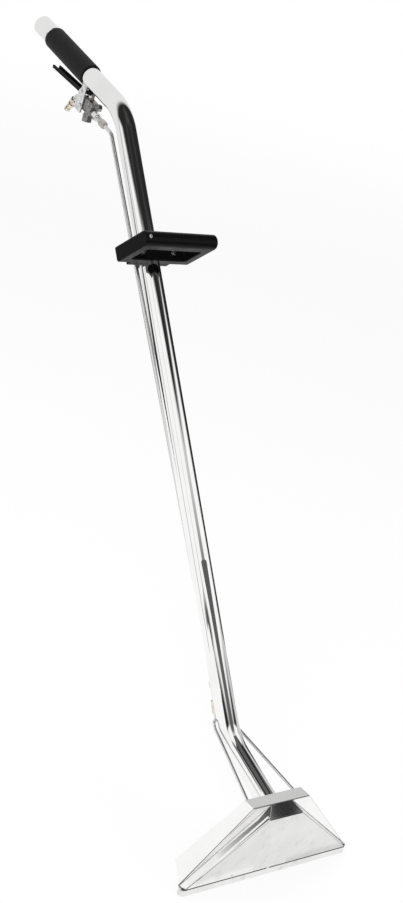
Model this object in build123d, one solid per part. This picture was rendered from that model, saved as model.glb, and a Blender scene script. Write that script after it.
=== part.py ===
from build123d import *
from math import cos, radians, sin, tan
import os

"""Hand-held carpet extraction wand: stainless S-bend tube, vacuum head with
spray hood, trigger valve with its solution line, grip sleeve and D handle.

Millimetres, +Z up.  The origin is the centre of the mouth on the floor, +X runs
along the mouth and +Y runs back to the operator.  The tube lies in the YZ plane.
"""

# ---------------------------------------------------------------- driving sizes
CLEAR = 0.3              # gap between pieces that move past each other
FIT = 0.05               # radial clearance of a pin or sliding bore
SHEET = 1.5              # stainless sheet of the head

# Vacuum tube
TUBE_OD = 31.75
TUBE_WALL = 1.5
LOWER_ANGLE = 18.5       # rise of each straight run above the floor
MID_ANGLE = 52.0
UPPER_ANGLE = 14.3
LOWER_RUN = 134.0        # hood panel to the lower bend's corner
MID_RUN = 972.0          # bend corner to bend corner
UPPER_RUN = 286.0        # upper bend's corner to the hose end
LOWER_BEND_R = 80.0
UPPER_BEND_R = 95.0
ENTRY_HEIGHT = 91.0      # tube axis above the floor where it meets the panel
RIM_BREAK = 0.6          # broken edge of the hose end
CUFF_LENGTH = 42.0       # plain end that takes the hose's cuff
CUFF_GROOVE = 1.6
CUFF_GROOVE_DEPTH = 0.4

# Head
MOUTH_WIDTH = 304.8
LIP_HEIGHT = 13.0
LIP_WALL = 3.0
LIP_GROOVE = 1.5         # relief under the shoe's lower edge
LIP_SETBACK = 1.0        # lip behind the shoe's front face
LIP_FOOT_R = 1.2
TACK_WIDTH = 4.0
SHOE_FRONT_Y = -2.8      # foot of the front face
SHOE_CREST_Y = -7.5      # crest of the front face
SHOE_CREST_Z = 103.2
SHOE_CREST_WIDTH = 62.0
SHOE_NECK_WIDTH = 38.0
SHOE_FOOT_INSET = 6.0    # foot of the front face inside the mouth's end
PANEL_Y = 8.2            # front of the hood panel
HOOD_TOP_Z = 117.0
HOOD_TOP_WIDTH = 103.0
HOOD_TOP_DEPTH = 20.5
HOOD_FOOT_DEPTH = 36.0
HOOD_SKIRT_RISE = 16.0   # rear of the side flange above the lip
SHOE_BEND_R = 2.5        # outside radius of the shoe's folds
HOOD_BEND_R = 1.2        # outside radius of the hood's folds

# Solution line
LINE_OD = 6.35
LINE_WALL = 0.9
LINE_BEND_R = 20.0
LINE_CORNER_S = 8.0      # the line's corner along the upper run
LINE_HUG_RUN = 160.0     # where the line comes down to the tube
LINE_HUG_GAP = 0.65
LINE_SWEEP_R = 400.0
PIPE_OD = 4.76
PIPE_WALL = 0.7
PIPE_BEND_R = 5.5
CLIP_RUN = 84.0
CLIP_WALL = 1.6
CLIP_LENGTH = 8.0

# Splitter behind the lower bend, placed along the mid run
SPLIT_RUN = 47.0
SPLIT_OFFSET = 22.5
SPLIT_OD = 12.7
SPLIT_HEIGHT = 12.0
SPLIT_PORT_X = 3.1
SPLIT_NUT_LENGTH = 9.0
PIPE_TURN_RUN = 31.5     # where the feed pipes turn round the tube
PIPE_LEAVE_RUN = 21.0    # where they leave it for the jets
PIPE_TURN_X = 18.6
PIPE_TURN_OFFSET = 8.4
PORT_DEPTH = 3.0         # pipe end inside a fitting

# Jets
JET_X = 44.0
JET_Y = 25.0
JET_PLATE_Z = 84.0       # underside of the jet bracket
JET_PLATE_WIDTH = 24.0
JET_PLATE_REACH = 35.0
JET_PLATE_DROP = 12.0
JET_HEX_AF = 13.0
JET_HEX_HEIGHT = 7.0
JET_SHANK_D = 9.5
JET_SHANK_LENGTH = 9.0
JET_TIP_AF = 12.0
JET_TIP_LENGTH = 11.0
JET_TIP_GROOVE = 1.2
JET_NUT_AF = 9.0
JET_NUT_LENGTH = 8.0
JET_ENTRY_Z = 109.2      # feed pipe's corner under the hood's top

# Grip
GRIP_OD = 37.0
GRIP_START = 109.5       # along the upper run
GRIP_LENGTH = 131.0
GRIP_RIM_R = 2.2

# Trigger valve, placed along the upper run (s) and square to it (n)
BODY_S = 86.0
BODY_N = -39.5
BODY_LENGTH = 32.0
BODY_WIDTH = 15.0
BODY_HEIGHT = 21.0
BODY_EDGE_R = 1.2
PORT_N = -44.0
PORT_OD = 13.0
PORT_BOSS = 4.0
GLAND_OD = 10.5
GLAND_RISE = 13.0        # gland's top above the body's middle, along the plunger
GLAND_NUT_AF = 8.0
GLAND_NUT_HEIGHT = 3.6
SEAL_OD = 7.5
SEAL_HEIGHT = 2.5
STEM_D = 4.0
STEM_RISE = 19.1
POPPET_D = 6.6
POPPET_HEIGHT = 2.6
SEAT_DROP = 4.0          # valve seat below the body's middle
CHAMBER_D = 8.0
SPRING_WIRE = 0.8
SPRING_OD = 6.6
SPRING_TURNS = 4
SPRING_FIT = 0.1
CAP_BOSS_OD = 12.5
CAP_DROP = 13.4          # cap nut's top below the body's middle
CAP_AF = 15.0
CAP_LENGTH = 12.0
CAP_WALL = 2.0
PLUG_S = 80.0
PLUG_N = -38.5
PLUG_BOSS_OD = 12.0
PLUG_BOSS = 2.0
PLUG_AF = 10.5
PLUG_LENGTH = 7.0

# Fittings on the valve
UNION_AF = 12.0
UNION_LENGTH = 11.0
UNION_NECK_D = 8.5
UNION_NECK = 12.0
LINE_NUT_AF = 11.0
LINE_NUT_LENGTH = 13.0
ELBOW_OD = 10.0
ELBOW_COLLAR_AF = 13.0
ELBOW_COLLAR = 7.0
ELBOW_RUN = 18.0         # port face to the elbow's corner
ELBOW_TURN = 61.0
ELBOW_TAIL = 9.0
ELBOW_BEND_R = 7.0
NIPPLE_AF = 12.7
NIPPLE_BORE = 5.0
NIPPLE_PLUG_D = 9.5
NIPPLE_COLLAR_D = 11.6
NIPPLE_GROOVE_D = 7.6

# Bracket and lever
PIVOT_S = 107.0
PIVOT_N = -26.5
PIN_D = 4.0
PIN_HEAD_D = 7.0
PIN_HEAD = 1.6
BRACKET_SHEET = 2.0
BRACKET_CLEAR = 0.5      # lever's cheek to the bracket's cheek
BRACKET_FOOT = 17.0      # bracket's lower edge below the body's middle
BRACKET_FOOT_FRONT = 3.4
BRACKET_FOOT_LENGTH = 22.5
BRACKET_EAR = 6.0        # bracket's edge round the pivot
SADDLE_LENGTH = 11.0
SADDLE_WEB = 2.0
SCREW_D = 4.0
SCREW_HEAD_D = 7.0
SCREW_HEAD = 2.2
SCREW_BITE = 4.0
SCREW_S = 97.5
SCREW_N = -45.5
LEVER_SHEET = 1.6
LEVER_WIDTH = 13.5
LEVER_REACH = 103.0
LEVER_DEPTH = 5.5
LEVER_TOP = 1.0          # cheek's upper edge above the pivot
LEVER_DROOP = 3.8        # lever's angle to the upper run at rest
LEVER_EAR_R = 4.4
LEVER_TIP_R = 2.0
NOSE_REACH = 22.5
NOSE_TOP = 6.6
NOSE_DEPTH = 3.4
NOSE_GAP = 0.9           # nose plate above the stem's middle at rest

# D handle, placed along the mid run
HANDLE_RUN = 732.5
HANDLE_WIDTH = 133.0
HANDLE_REACH = 91.5      # tube axis to the front of the loop
HANDLE_BACK = 8.0        # tube axis to the back of the loop
HANDLE_THICK = 23.5
HANDLE_BAR = 25.0        # front grip bar
HANDLE_ARM = 16.0        # side arms
HANDLE_REAR = 16.0       # rear bar
HANDLE_NOSE_R = 11.0     # round front of the grip bar
HANDLE_HEEL_R = 3.0      # rear edges of the loop
HANDLE_END_R = 3.0       # outer edges of the side arms
HANDLE_HOLE_R = 2.0
HANDLE_SCREW_END = 7.5  # dome screw to the end of the grip bar
HANDLE_SCREW_D = 6.0
CLAMP_WALL = 6.0
CLAMP_ABOVE = 11.0
CLAMP_BELOW = 9.0
CLAMP_SPLIT = 0.5        # half of the gap between the clamp's halves
CLAMP_EAR_X = 29.0       # bolt to the tube axis
CLAMP_EAR_R = 8.0
CLAMP_EAR = 7.0
BOLT_D = 5.0
BOLT_AF = 8.0
BOLT_HEAD = 3.5
NUT_HEIGHT = 4.0
BOLT_TAIL = 2.0

# ---------------------------------------------------------------- shared places
TUBE_R = TUBE_OD / 2
LINE_R = LINE_OD / 2
HALF_MOUTH = MOUTH_WIDTH / 2
PANEL_BACK = PANEL_Y + SHEET
X = Vector(1, 0, 0)
Z = Vector(0, 0, 1)


def heading(angle):
    """Unit vector in the YZ plane, rising back to the operator."""
    return Vector(0, cos(radians(angle)), sin(radians(angle)))


def square(angle):
    """Unit vector square to heading(angle), on its upper front side."""
    return Vector(0, -sin(radians(angle)), cos(radians(angle)))


ENTRY = Vector(0, PANEL_BACK, ENTRY_HEIGHT)
LOWER_CORNER = ENTRY + heading(LOWER_ANGLE) * LOWER_RUN
UPPER_CORNER = LOWER_CORNER + heading(MID_ANGLE) * MID_RUN
HOSE_END = UPPER_CORNER + heading(UPPER_ANGLE) * UPPER_RUN

# Side planes: first coordinate along the run, second square to it.
UPPER_SIDE = Plane(UPPER_CORNER, x_dir=heading(UPPER_ANGLE), z_dir=X)
MID_SIDE = Plane(LOWER_CORNER, x_dir=heading(MID_ANGLE), z_dir=X)
UPPER_AXIS = Plane(UPPER_CORNER, x_dir=X, z_dir=heading(UPPER_ANGLE))
MID_AXIS = Plane(LOWER_CORNER, x_dir=X, z_dir=heading(MID_ANGLE))


def on_upper(s, n, x=0.0):
    """Point beside the upper run: s along it, n square to it."""
    return UPPER_CORNER + heading(UPPER_ANGLE) * s + square(UPPER_ANGLE) * n + X * x


def on_mid(s, n, x=0.0):
    """Point beside the middle run: s along it, n square to it."""
    return LOWER_CORNER + heading(MID_ANGLE) * s + square(MID_ANGLE) * n + X * x


# ---------------------------------------------------------------- shape helpers
def bent_wire(points, radii):
    """Straight runs joined by arcs of the given radii at the inner corners."""
    points = [Vector(*p) for p in points]
    edges = []
    start = points[0]
    for before, corner, after, radius in zip(points, points[1:], points[2:], radii):
        into = (corner - before).normalized()
        out = (after - corner).normalized()
        half_turn = radians(into.get_angle(out)) / 2
        first = corner - into * (radius * tan(half_turn))
        last = corner + out * (radius * tan(half_turn))
        inward = (out - into).normalized() * (radius / cos(half_turn) - radius)
        edges.append(Edge.make_line(start, first))
        edges.append(Edge.make_three_point_arc(first, corner + inward, last))
        start = last
    edges.append(Edge.make_line(start, points[-1]))
    return Wire(edges)


def rod_along(path, diameter):
    start = Plane(origin=path @ 0, z_dir=path % 0)
    return sweep(start * Circle(diameter / 2), path=path)


def pipe_along(path, od, wall):
    return rod_along(path, od) - rod_along(path, od - 2 * wall)


def axis_at(point, direction):
    """Plane square to a direction, with X kept along the mouth where it can be."""
    side = X if abs(Vector(*direction).X) < 0.9 else Vector(0, 1, 0)
    return Plane(point, x_dir=side, z_dir=direction)


def round_bar(plane, diameter, start, length):
    """Cylinder on a plane's axis."""
    return plane.offset(start) * Cylinder(
        diameter / 2, length, align=(Align.CENTER, Align.CENTER, Align.MIN))


def hex_bar(plane, across_flats, start, length, turned=0.6):
    """Hexagonal blank on a plane's axis, with both rims turned down."""
    corner_r = across_flats / 2 / cos(radians(30))
    blank = extrude(RegularPolygon(corner_r, 6), length)
    rim = corner_r - turned
    profile = Polyline(
        (0, 0), (rim, 0), (corner_r, turned), (corner_r, length - turned),
        (rim, length), (0, length), close=True)
    barrel = revolve(Plane.XZ * make_face(profile), Axis.Z)
    return plane.offset(start) * (blank & barrel)


def turned_bar(plane, steps, bore=0.0):
    """Stepped round bar from (diameter, length) pairs."""
    outline = [(0, 0)]
    station = 0.0
    for diameter, length in steps:
        outline.append((diameter / 2, station))
        station += length
        outline.append((diameter / 2, station))
    outline.append((0, station))
    bar = revolve(Plane.XZ * make_face(Polyline(outline, close=True)), Axis.Z)
    if bore:
        bar -= Cylinder(bore / 2, station, align=(Align.CENTER, Align.CENTER, Align.MIN))
    return plane * bar


def side_plate(plane, sketch, x_from, x_to):
    """Plate cut to a side outline, between two places along X."""
    return plane.offset(x_from) * extrude(sketch, x_to - x_from)


def both_sides(solid):
    """A piece and its mirror image across the wand's middle plane."""
    return Compound(children=[solid, solid.mirror(Plane.YZ)])


def block_from_rings(left, right):
    """Closed solid between two side outlines with the same number of corners."""
    count = len(left)
    faces = [
        [left[i], right[i], right[(i + 1) % count], left[(i + 1) % count]]
        for i in range(count)]
    faces += [list(left), list(right)]
    return Solid(Shell([Face(Wire.make_polygon(corners)) for corners in faces]))


# ---------------------------------------------------------------- vacuum tube
def make_wand_tube():
    buried = ENTRY - heading(LOWER_ANGLE) * TUBE_OD
    path = bent_wire(
        [buried, LOWER_CORNER, UPPER_CORNER, HOSE_END], [LOWER_BEND_R, UPPER_BEND_R])
    tube = pipe_along(path, TUBE_OD, TUBE_WALL)
    ahead = Pos(0, PANEL_BACK, ENTRY_HEIGHT) * Box(
        3 * TUBE_OD, 3 * TUBE_OD, 4 * TUBE_OD, align=(Align.CENTER, Align.MAX, Align.CENTER))
    tube -= ahead
    hose_face = tube.faces().sort_by(Axis.Y)[-1]
    tube = chamfer(hose_face.edges(), RIM_BREAK)
    start = UPPER_RUN - CUFF_LENGTH - CUFF_GROOVE
    groove = round_bar(UPPER_AXIS, TUBE_OD + 2, start, CUFF_GROOVE)
    core = round_bar(UPPER_AXIS, TUBE_OD - 2 * CUFF_GROOVE_DEPTH, start, CUFF_GROOVE)
    return tube - (groove - core)


def make_grip_sleeve():
    sleeve = round_bar(UPPER_AXIS, GRIP_OD, GRIP_START, GRIP_LENGTH)
    sleeve = fillet(sleeve.edges().filter_by(GeomType.CIRCLE), GRIP_RIM_R)
    return sleeve - round_bar(UPPER_AXIS, TUBE_OD, GRIP_START, GRIP_LENGTH)


# ---------------------------------------------------------------- head
def make_vacuum_shoe():
    """Folded front shell of the suction duct, open behind and below."""
    crest = SHOE_CREST_WIDTH / 2
    neck = SHOE_NECK_WIDTH / 2
    foot = HALF_MOUTH - SHOE_FOOT_INSET
    drop = SHOE_CREST_Z - LIP_HEIGHT
    # The rear foot lies in the plane of the crest, the front foot and the neck.
    edge = Vector(foot - crest, SHOE_FRONT_Y - SHOE_CREST_Y, -drop)
    rise = Vector(neck - crest, PANEL_Y - SHOE_CREST_Y, HOOD_TOP_Z - SHOE_CREST_Z)
    normal = edge.cross(rise)
    rear_foot = crest - (
        normal.Y * (PANEL_Y - SHOE_CREST_Y) - normal.Z * drop) / normal.X

    def ring(side):
        return [
            (side * crest, SHOE_CREST_Y, SHOE_CREST_Z),
            (side * foot, SHOE_FRONT_Y, LIP_HEIGHT),
            (side * rear_foot, PANEL_Y, LIP_HEIGHT),
            (side * neck, PANEL_Y, HOOD_TOP_Z)]

    block = block_from_rings(ring(-1), ring(1))
    middle_y = (PANEL_Y + SHOE_CREST_Y) / 2
    folds = [
        e for e in block.edges()
        if e.center().Y < middle_y and e.center().Z > LIP_HEIGHT + 1]
    block = fillet(folds, SHOE_BEND_R)
    below = block.faces().sort_by(Axis.Z)[0]
    behind = block.faces().sort_by(Axis.Y)[-1]
    return offset(block, amount=-SHEET, openings=[below, behind])


def make_spray_hood():
    """Panel behind the duct, with its top and side edges folded back."""
    top = HOOD_TOP_WIDTH / 2
    rear_top = PANEL_Y + HOOD_TOP_DEPTH
    rear_foot = PANEL_Y + HOOD_FOOT_DEPTH

    def ring(side):
        return [
            (side * top, PANEL_Y, HOOD_TOP_Z),
            (side * HALF_MOUTH, PANEL_Y, LIP_HEIGHT),
            (side * HALF_MOUTH, rear_foot, LIP_HEIGHT),
            (side * top, rear_top, HOOD_TOP_Z)]

    block = block_from_rings(ring(-1), ring(1))
    below = block.faces().sort_by(Axis.Z)[0]
    behind = block.faces().sort_by(Axis.Y)[-1]
    hood = offset(block, amount=-SHEET, openings=[below, behind])
    folds = [
        e for e in hood.edges()
        if abs(e.center().Y - PANEL_Y) < 0.01 and e.center().Z > LIP_HEIGHT + 1]
    hood = fillet(folds, HOOD_BEND_R)
    skirt = Polyline(
        (PANEL_BACK, LIP_HEIGHT - SHEET), (PANEL_BACK, LIP_HEIGHT + SHEET),
        (rear_foot, LIP_HEIGHT + HOOD_SKIRT_RISE), (rear_foot, LIP_HEIGHT - SHEET), close=True)
    hood -= extrude(Plane.YZ * make_face(skirt), MOUTH_WIDTH, both=True)
    entry = axis_at(ENTRY, heading(LOWER_ANGLE))
    hood -= round_bar(entry, TUBE_OD - 2 * TUBE_WALL, -TUBE_OD, 2 * TUBE_OD)
    return hood


def make_mouth_lip():
    """Rounded ring that slides on the carpet and frames the suction slot."""
    front = SHOE_FRONT_Y + LIP_SETBACK
    depth = PANEL_Y + LIP_WALL - front
    middle = Pos(0, front + depth / 2, 0)
    outer = extrude(SlotOverall(MOUTH_WIDTH, depth), LIP_HEIGHT)
    outer = fillet(outer.faces().sort_by(Axis.Z)[0].edges(), LIP_FOOT_R)
    slot = extrude(
        SlotOverall(MOUTH_WIDTH - 2 * LIP_WALL, depth - 2 * LIP_WALL), LIP_HEIGHT)
    lip = middle * (outer - slot)
    reach = MOUTH_WIDTH - 2 * depth
    half = reach / 2 - TACK_WIDTH / 2
    cut = Box(half, 1.0, LIP_GROOVE, align=(Align.MIN, Align.MIN, Align.MAX))
    for start in (-reach / 2, TACK_WIDTH / 2):
        lip -= Pos(start, front, LIP_HEIGHT) * cut
    return lip


# ---------------------------------------------------------------- jets
def jet_axis(side=1):
    return axis_at((side * JET_X, JET_Y, JET_PLATE_Z), Z)


def make_jet_brackets():
    """Angle plates welded to the hood panel, one under each feed pipe."""
    shelf = Box(
        JET_PLATE_WIDTH, JET_PLATE_REACH - PANEL_BACK, SHEET,
        align=(Align.CENTER, Align.MIN, Align.MIN))
    leg = Box(
        JET_PLATE_WIDTH, SHEET, JET_PLATE_DROP + SHEET,
        align=(Align.CENTER, Align.MIN, Align.MAX))
    angle = Pos(JET_X, PANEL_BACK, JET_PLATE_Z) * (shelf + Pos(0, 0, SHEET) * leg)
    angle -= round_bar(jet_axis(), JET_SHANK_D, -JET_HEX_HEIGHT, 3 * JET_HEX_HEIGHT)
    return both_sides(angle)


def make_jet_bodies():
    """Bulkhead bodies that drop through the brackets."""
    body = hex_bar(jet_axis(), JET_HEX_AF, SHEET, JET_HEX_HEIGHT)
    body += round_bar(jet_axis(), JET_SHANK_D, -JET_SHANK_LENGTH, JET_SHANK_LENGTH + SHEET)
    body -= round_bar(jet_axis(), PIPE_OD - 2 * PIPE_WALL, -JET_SHANK_LENGTH, 40)
    socket = SHEET + JET_HEX_HEIGHT - PORT_DEPTH
    body -= round_bar(jet_axis(), PIPE_OD, socket, PORT_DEPTH)
    return both_sides(body)


def make_jet_tips():
    """Screw-on tips with a cross groove that fans the spray along the mouth."""
    top = -CLEAR / 3
    tip = hex_bar(jet_axis(), JET_TIP_AF, top - JET_TIP_LENGTH, JET_TIP_LENGTH)
    tip -= round_bar(jet_axis(), JET_SHANK_D, -JET_SHANK_LENGTH, JET_SHANK_LENGTH)
    tip -= round_bar(jet_axis(), JET_TIP_GROOVE, -2 * JET_TIP_LENGTH, 2 * JET_TIP_LENGTH)
    groove = jet_axis().offset(top - JET_TIP_LENGTH) * Box(
        2 * JET_TIP_AF, JET_TIP_GROOVE, 2 * JET_TIP_GROOVE)
    return both_sides(tip - groove)


def make_jet_nuts():
    nut = hex_bar(
        jet_axis(), JET_NUT_AF, SHEET + JET_HEX_HEIGHT, JET_NUT_LENGTH)
    nut -= round_bar(jet_axis(), PIPE_OD, 0, 40)
    return both_sides(nut)


# ---------------------------------------------------------------- solution line
def split_plane():
    """The splitter's frame: X along the mouth, Z up the mid run."""
    return Plane(on_mid(SPLIT_RUN, -SPLIT_OFFSET), x_dir=X, z_dir=heading(MID_ANGLE))


def feed_pipe_path():
    drop = SPLIT_HEIGHT / 2 - PORT_DEPTH
    return bent_wire([
        on_mid(SPLIT_RUN - drop, -SPLIT_OFFSET, SPLIT_PORT_X),
        on_mid(PIPE_TURN_RUN, -SPLIT_OFFSET, SPLIT_PORT_X),
        on_mid(PIPE_TURN_RUN, -PIPE_TURN_OFFSET, PIPE_TURN_X),
        on_mid(PIPE_LEAVE_RUN, -PIPE_TURN_OFFSET, PIPE_TURN_X),
        (JET_X, JET_Y, JET_ENTRY_Z),
        (JET_X, JET_Y, JET_PLATE_Z + SHEET + JET_HEX_HEIGHT - PORT_DEPTH)],
        [PIPE_BEND_R] * 4)


def make_feed_pipe(side):
    pipe = pipe_along(feed_pipe_path(), PIPE_OD, PIPE_WALL)
    return pipe if side > 0 else pipe.mirror(Plane.YZ)


def make_line_splitter():
    """Brazed barrel that shares the solution between the two feed pipes."""
    top = SPLIT_HEIGHT / 2
    barrel = round_bar(split_plane(), SPLIT_OD, -top, SPLIT_HEIGHT)
    barrel = chamfer(barrel.edges().filter_by(GeomType.CIRCLE), 0.5)
    barrel -= round_bar(split_plane(), LINE_OD, top - PORT_DEPTH, PORT_DEPTH)
    for side in (-1, 1):
        port = axis_at(
            on_mid(SPLIT_RUN, -SPLIT_OFFSET, side * SPLIT_PORT_X), heading(MID_ANGLE))
        barrel -= round_bar(port, PIPE_OD, -top, PORT_DEPTH)
    return barrel


def make_splitter_nut():
    top = SPLIT_HEIGHT / 2
    nut = hex_bar(split_plane(), LINE_NUT_AF, top, SPLIT_NUT_LENGTH)
    return nut - round_bar(split_plane(), LINE_OD, 0, 40)


def solution_line_path():
    hug = TUBE_R + LINE_R + LINE_HUG_GAP
    straight = SPLIT_RUN + SPLIT_HEIGHT / 2 + SPLIT_NUT_LENGTH + LINE_OD
    return bent_wire([
        on_upper(line_nut_start(), PORT_N),
        on_upper(LINE_CORNER_S, PORT_N),
        on_mid(LINE_HUG_RUN, -hug),
        on_mid(straight, -SPLIT_OFFSET),
        on_mid(SPLIT_RUN + SPLIT_HEIGHT / 2 - PORT_DEPTH, -SPLIT_OFFSET)],
        [LINE_BEND_R, LINE_SWEEP_R, LINE_OD * 10])


def make_solution_line():
    return pipe_along(solution_line_path(), LINE_OD, LINE_WALL)


def line_offset_at(run):
    """Distance between the line and the tube axis, between splitter and hug."""
    hug = TUBE_R + LINE_R + LINE_HUG_GAP
    straight = SPLIT_RUN + SPLIT_HEIGHT / 2 + SPLIT_NUT_LENGTH + LINE_OD
    share = (run - straight) / (LINE_HUG_RUN - straight)
    return SPLIT_OFFSET + (hug - SPLIT_OFFSET) * share


def make_line_clip():
    """Brazed clip that ties the solution line to the tube."""
    away = line_offset_at(CLIP_RUN)
    start = CLIP_RUN - CLIP_LENGTH / 2
    centre = axis_at(on_mid(0, -away), heading(MID_ANGLE))
    clip = round_bar(centre, LINE_OD + 2 * CLIP_WALL, start, CLIP_LENGTH)
    foot = MID_AXIS.offset(start) * Box(
        LINE_OD, away, CLIP_LENGTH, align=(Align.CENTER, Align.MIN, Align.MIN))
    clip += foot
    clip -= round_bar(MID_AXIS, TUBE_OD, start - 1, CLIP_LENGTH + 2)
    return clip - rod_along(solution_line_path(), LINE_OD)


# ---------------------------------------------------------------- trigger valve
BODY_FRONT = BODY_S - BODY_LENGTH / 2
BODY_REAR = BODY_S + BODY_LENGTH / 2
OUTLET = axis_at(on_upper(BODY_FRONT, PORT_N), heading(UPPER_ANGLE) * -1)
INLET = axis_at(on_upper(BODY_REAR, PORT_N), heading(UPPER_ANGLE))
PLUNGER = axis_at(on_upper(BODY_S, BODY_N), Z)   # the plunger stands upright
PLUG = axis_at(on_upper(PLUG_S, PLUG_N, BODY_WIDTH / 2), X)
CHEEK_INSIDE = BODY_WIDTH / 2 + BRACKET_CLEAR
CHEEK_OUTSIDE = CHEEK_INSIDE + BRACKET_SHEET


def line_nut_start():
    """Where the solution line ends inside its nut, along the upper run."""
    return BODY_FRONT - PORT_BOSS - UNION_LENGTH - UNION_NECK - LINE_NUT_LENGTH / 3


def make_valve_body():
    block = side_plate(
        UPPER_SIDE, Pos(BODY_S, BODY_N) * Rectangle(BODY_LENGTH, BODY_HEIGHT),
        -BODY_WIDTH / 2, BODY_WIDTH / 2)
    block = fillet(block.edges(), BODY_EDGE_R)
    block += round_bar(OUTLET, PORT_OD, -PORT_OD / 2, PORT_OD / 2 + PORT_BOSS)
    block += round_bar(INLET, PORT_OD, -PORT_OD / 2, PORT_OD / 2 + PORT_BOSS)
    block += round_bar(PLUNGER, GLAND_OD, 0, GLAND_RISE)
    block += round_bar(PLUNGER, CAP_BOSS_OD, -CAP_DROP, CAP_DROP)
    block += round_bar(PLUG, PLUG_BOSS_OD, -PLUG_BOSS, 2 * PLUG_BOSS)
    block -= round_bar(PLUNGER, STEM_D + 2 * FIT, -SEAT_DROP, SEAT_DROP + GLAND_RISE)
    block -= round_bar(PLUNGER, CHAMBER_D, -CAP_DROP, CAP_DROP - SEAT_DROP)
    block -= round_bar(PLUNGER, SEAL_OD, GLAND_RISE - SEAL_HEIGHT, SEAL_HEIGHT)
    for side in (-1, 1):
        hole = axis_at(on_upper(SCREW_S, SCREW_N, side * BODY_WIDTH / 2), X * side)
        block -= round_bar(hole, SCREW_D, -SCREW_BITE, SCREW_BITE)
    return block


def make_valve_stem():
    """Push stem with its poppet, worked by the lever's nose."""
    poppet_top = -SEAT_DROP - CLEAR
    stem = round_bar(PLUNGER, STEM_D, poppet_top, STEM_RISE - poppet_top)
    return stem + round_bar(PLUNGER, POPPET_D, poppet_top - POPPET_HEIGHT, POPPET_HEIGHT)


def make_stem_seal():
    ring = round_bar(PLUNGER, SEAL_OD, GLAND_RISE - SEAL_HEIGHT, SEAL_HEIGHT)
    return ring - round_bar(PLUNGER, STEM_D + 2 * FIT, 0, GLAND_RISE)


def make_gland_nut():
    nut = hex_bar(PLUNGER, GLAND_NUT_AF, GLAND_RISE, GLAND_NUT_HEIGHT, turned=0.4)
    return nut - round_bar(PLUNGER, STEM_D + 2 * FIT, 0, 2 * GLAND_RISE)


def make_cap_nut():
    cap = hex_bar(PLUNGER, CAP_AF, -CAP_DROP - CAP_LENGTH, CAP_LENGTH, turned=1.0)
    return cap - round_bar(
        PLUNGER, CHAMBER_D, CAP_WALL - CAP_DROP - CAP_LENGTH, CAP_LENGTH - CAP_WALL)


def make_return_spring():
    """Coil that lifts the stem and the lever."""
    bottom = CAP_WALL - CAP_DROP - CAP_LENGTH + SPRING_FIT + SPRING_WIRE / 2
    top = -SEAT_DROP - CLEAR - POPPET_HEIGHT - SPRING_FIT - SPRING_WIRE / 2
    pitch = (top - bottom) / SPRING_TURNS
    coil = Helix(pitch, top - bottom, (SPRING_OD - SPRING_WIRE) / 2)
    start = Plane(coil @ 0, z_dir=coil % 0)
    wire = sweep(start * Circle(SPRING_WIRE / 2), path=coil, is_frenet=True)
    return PLUNGER.offset(bottom) * wire


def make_side_plug():
    plug = round_bar(PLUG, PLUG_BOSS_OD, PLUG_BOSS, PLUG_BOSS / 2)
    return plug + hex_bar(PLUG, PLUG_AF, 1.5 * PLUG_BOSS, PLUG_LENGTH)


def make_outlet_union():
    union = hex_bar(OUTLET, UNION_AF, PORT_BOSS, UNION_LENGTH)
    neck = PORT_BOSS + UNION_LENGTH
    return union + round_bar(OUTLET, UNION_NECK_D, neck, UNION_NECK)


def make_line_nut():
    start = PORT_BOSS + UNION_LENGTH + UNION_NECK
    nut = hex_bar(OUTLET, LINE_NUT_AF, start, LINE_NUT_LENGTH, turned=1.0)
    return nut - round_bar(OUTLET, LINE_OD, start + LINE_NUT_LENGTH / 3, LINE_NUT_LENGTH)


def nipple_axis():
    corner = on_upper(BODY_REAR + PORT_BOSS + ELBOW_RUN, PORT_N)
    tail = heading(UPPER_ANGLE - ELBOW_TURN)
    return axis_at(corner + tail * ELBOW_TAIL, tail)


def make_inlet_elbow():
    face = BODY_REAR + PORT_BOSS
    corner = on_upper(face + ELBOW_RUN, PORT_N)
    path = bent_wire(
        [on_upper(face, PORT_N), corner, nipple_axis().origin], [ELBOW_BEND_R])
    elbow = rod_along(path, ELBOW_OD)
    return elbow + hex_bar(INLET, ELBOW_COLLAR_AF, PORT_BOSS, ELBOW_COLLAR)


def make_inlet_nipple():
    """Male quick-connect plug for the solution hose."""
    axis = nipple_axis()
    hexagon = hex_bar(axis, NIPPLE_AF, 0, 6.0)
    plug = turned_bar(axis, [
        (NIPPLE_PLUG_D - 1, 11.0), (NIPPLE_COLLAR_D, 3.5), (NIPPLE_PLUG_D, 5.5),
        (NIPPLE_GROOVE_D, 2.5), (NIPPLE_PLUG_D, 5.5), (NIPPLE_GROOVE_D, 1.0)])
    return hexagon + plug - round_bar(axis, NIPPLE_BORE, 2.0, 40)


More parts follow.
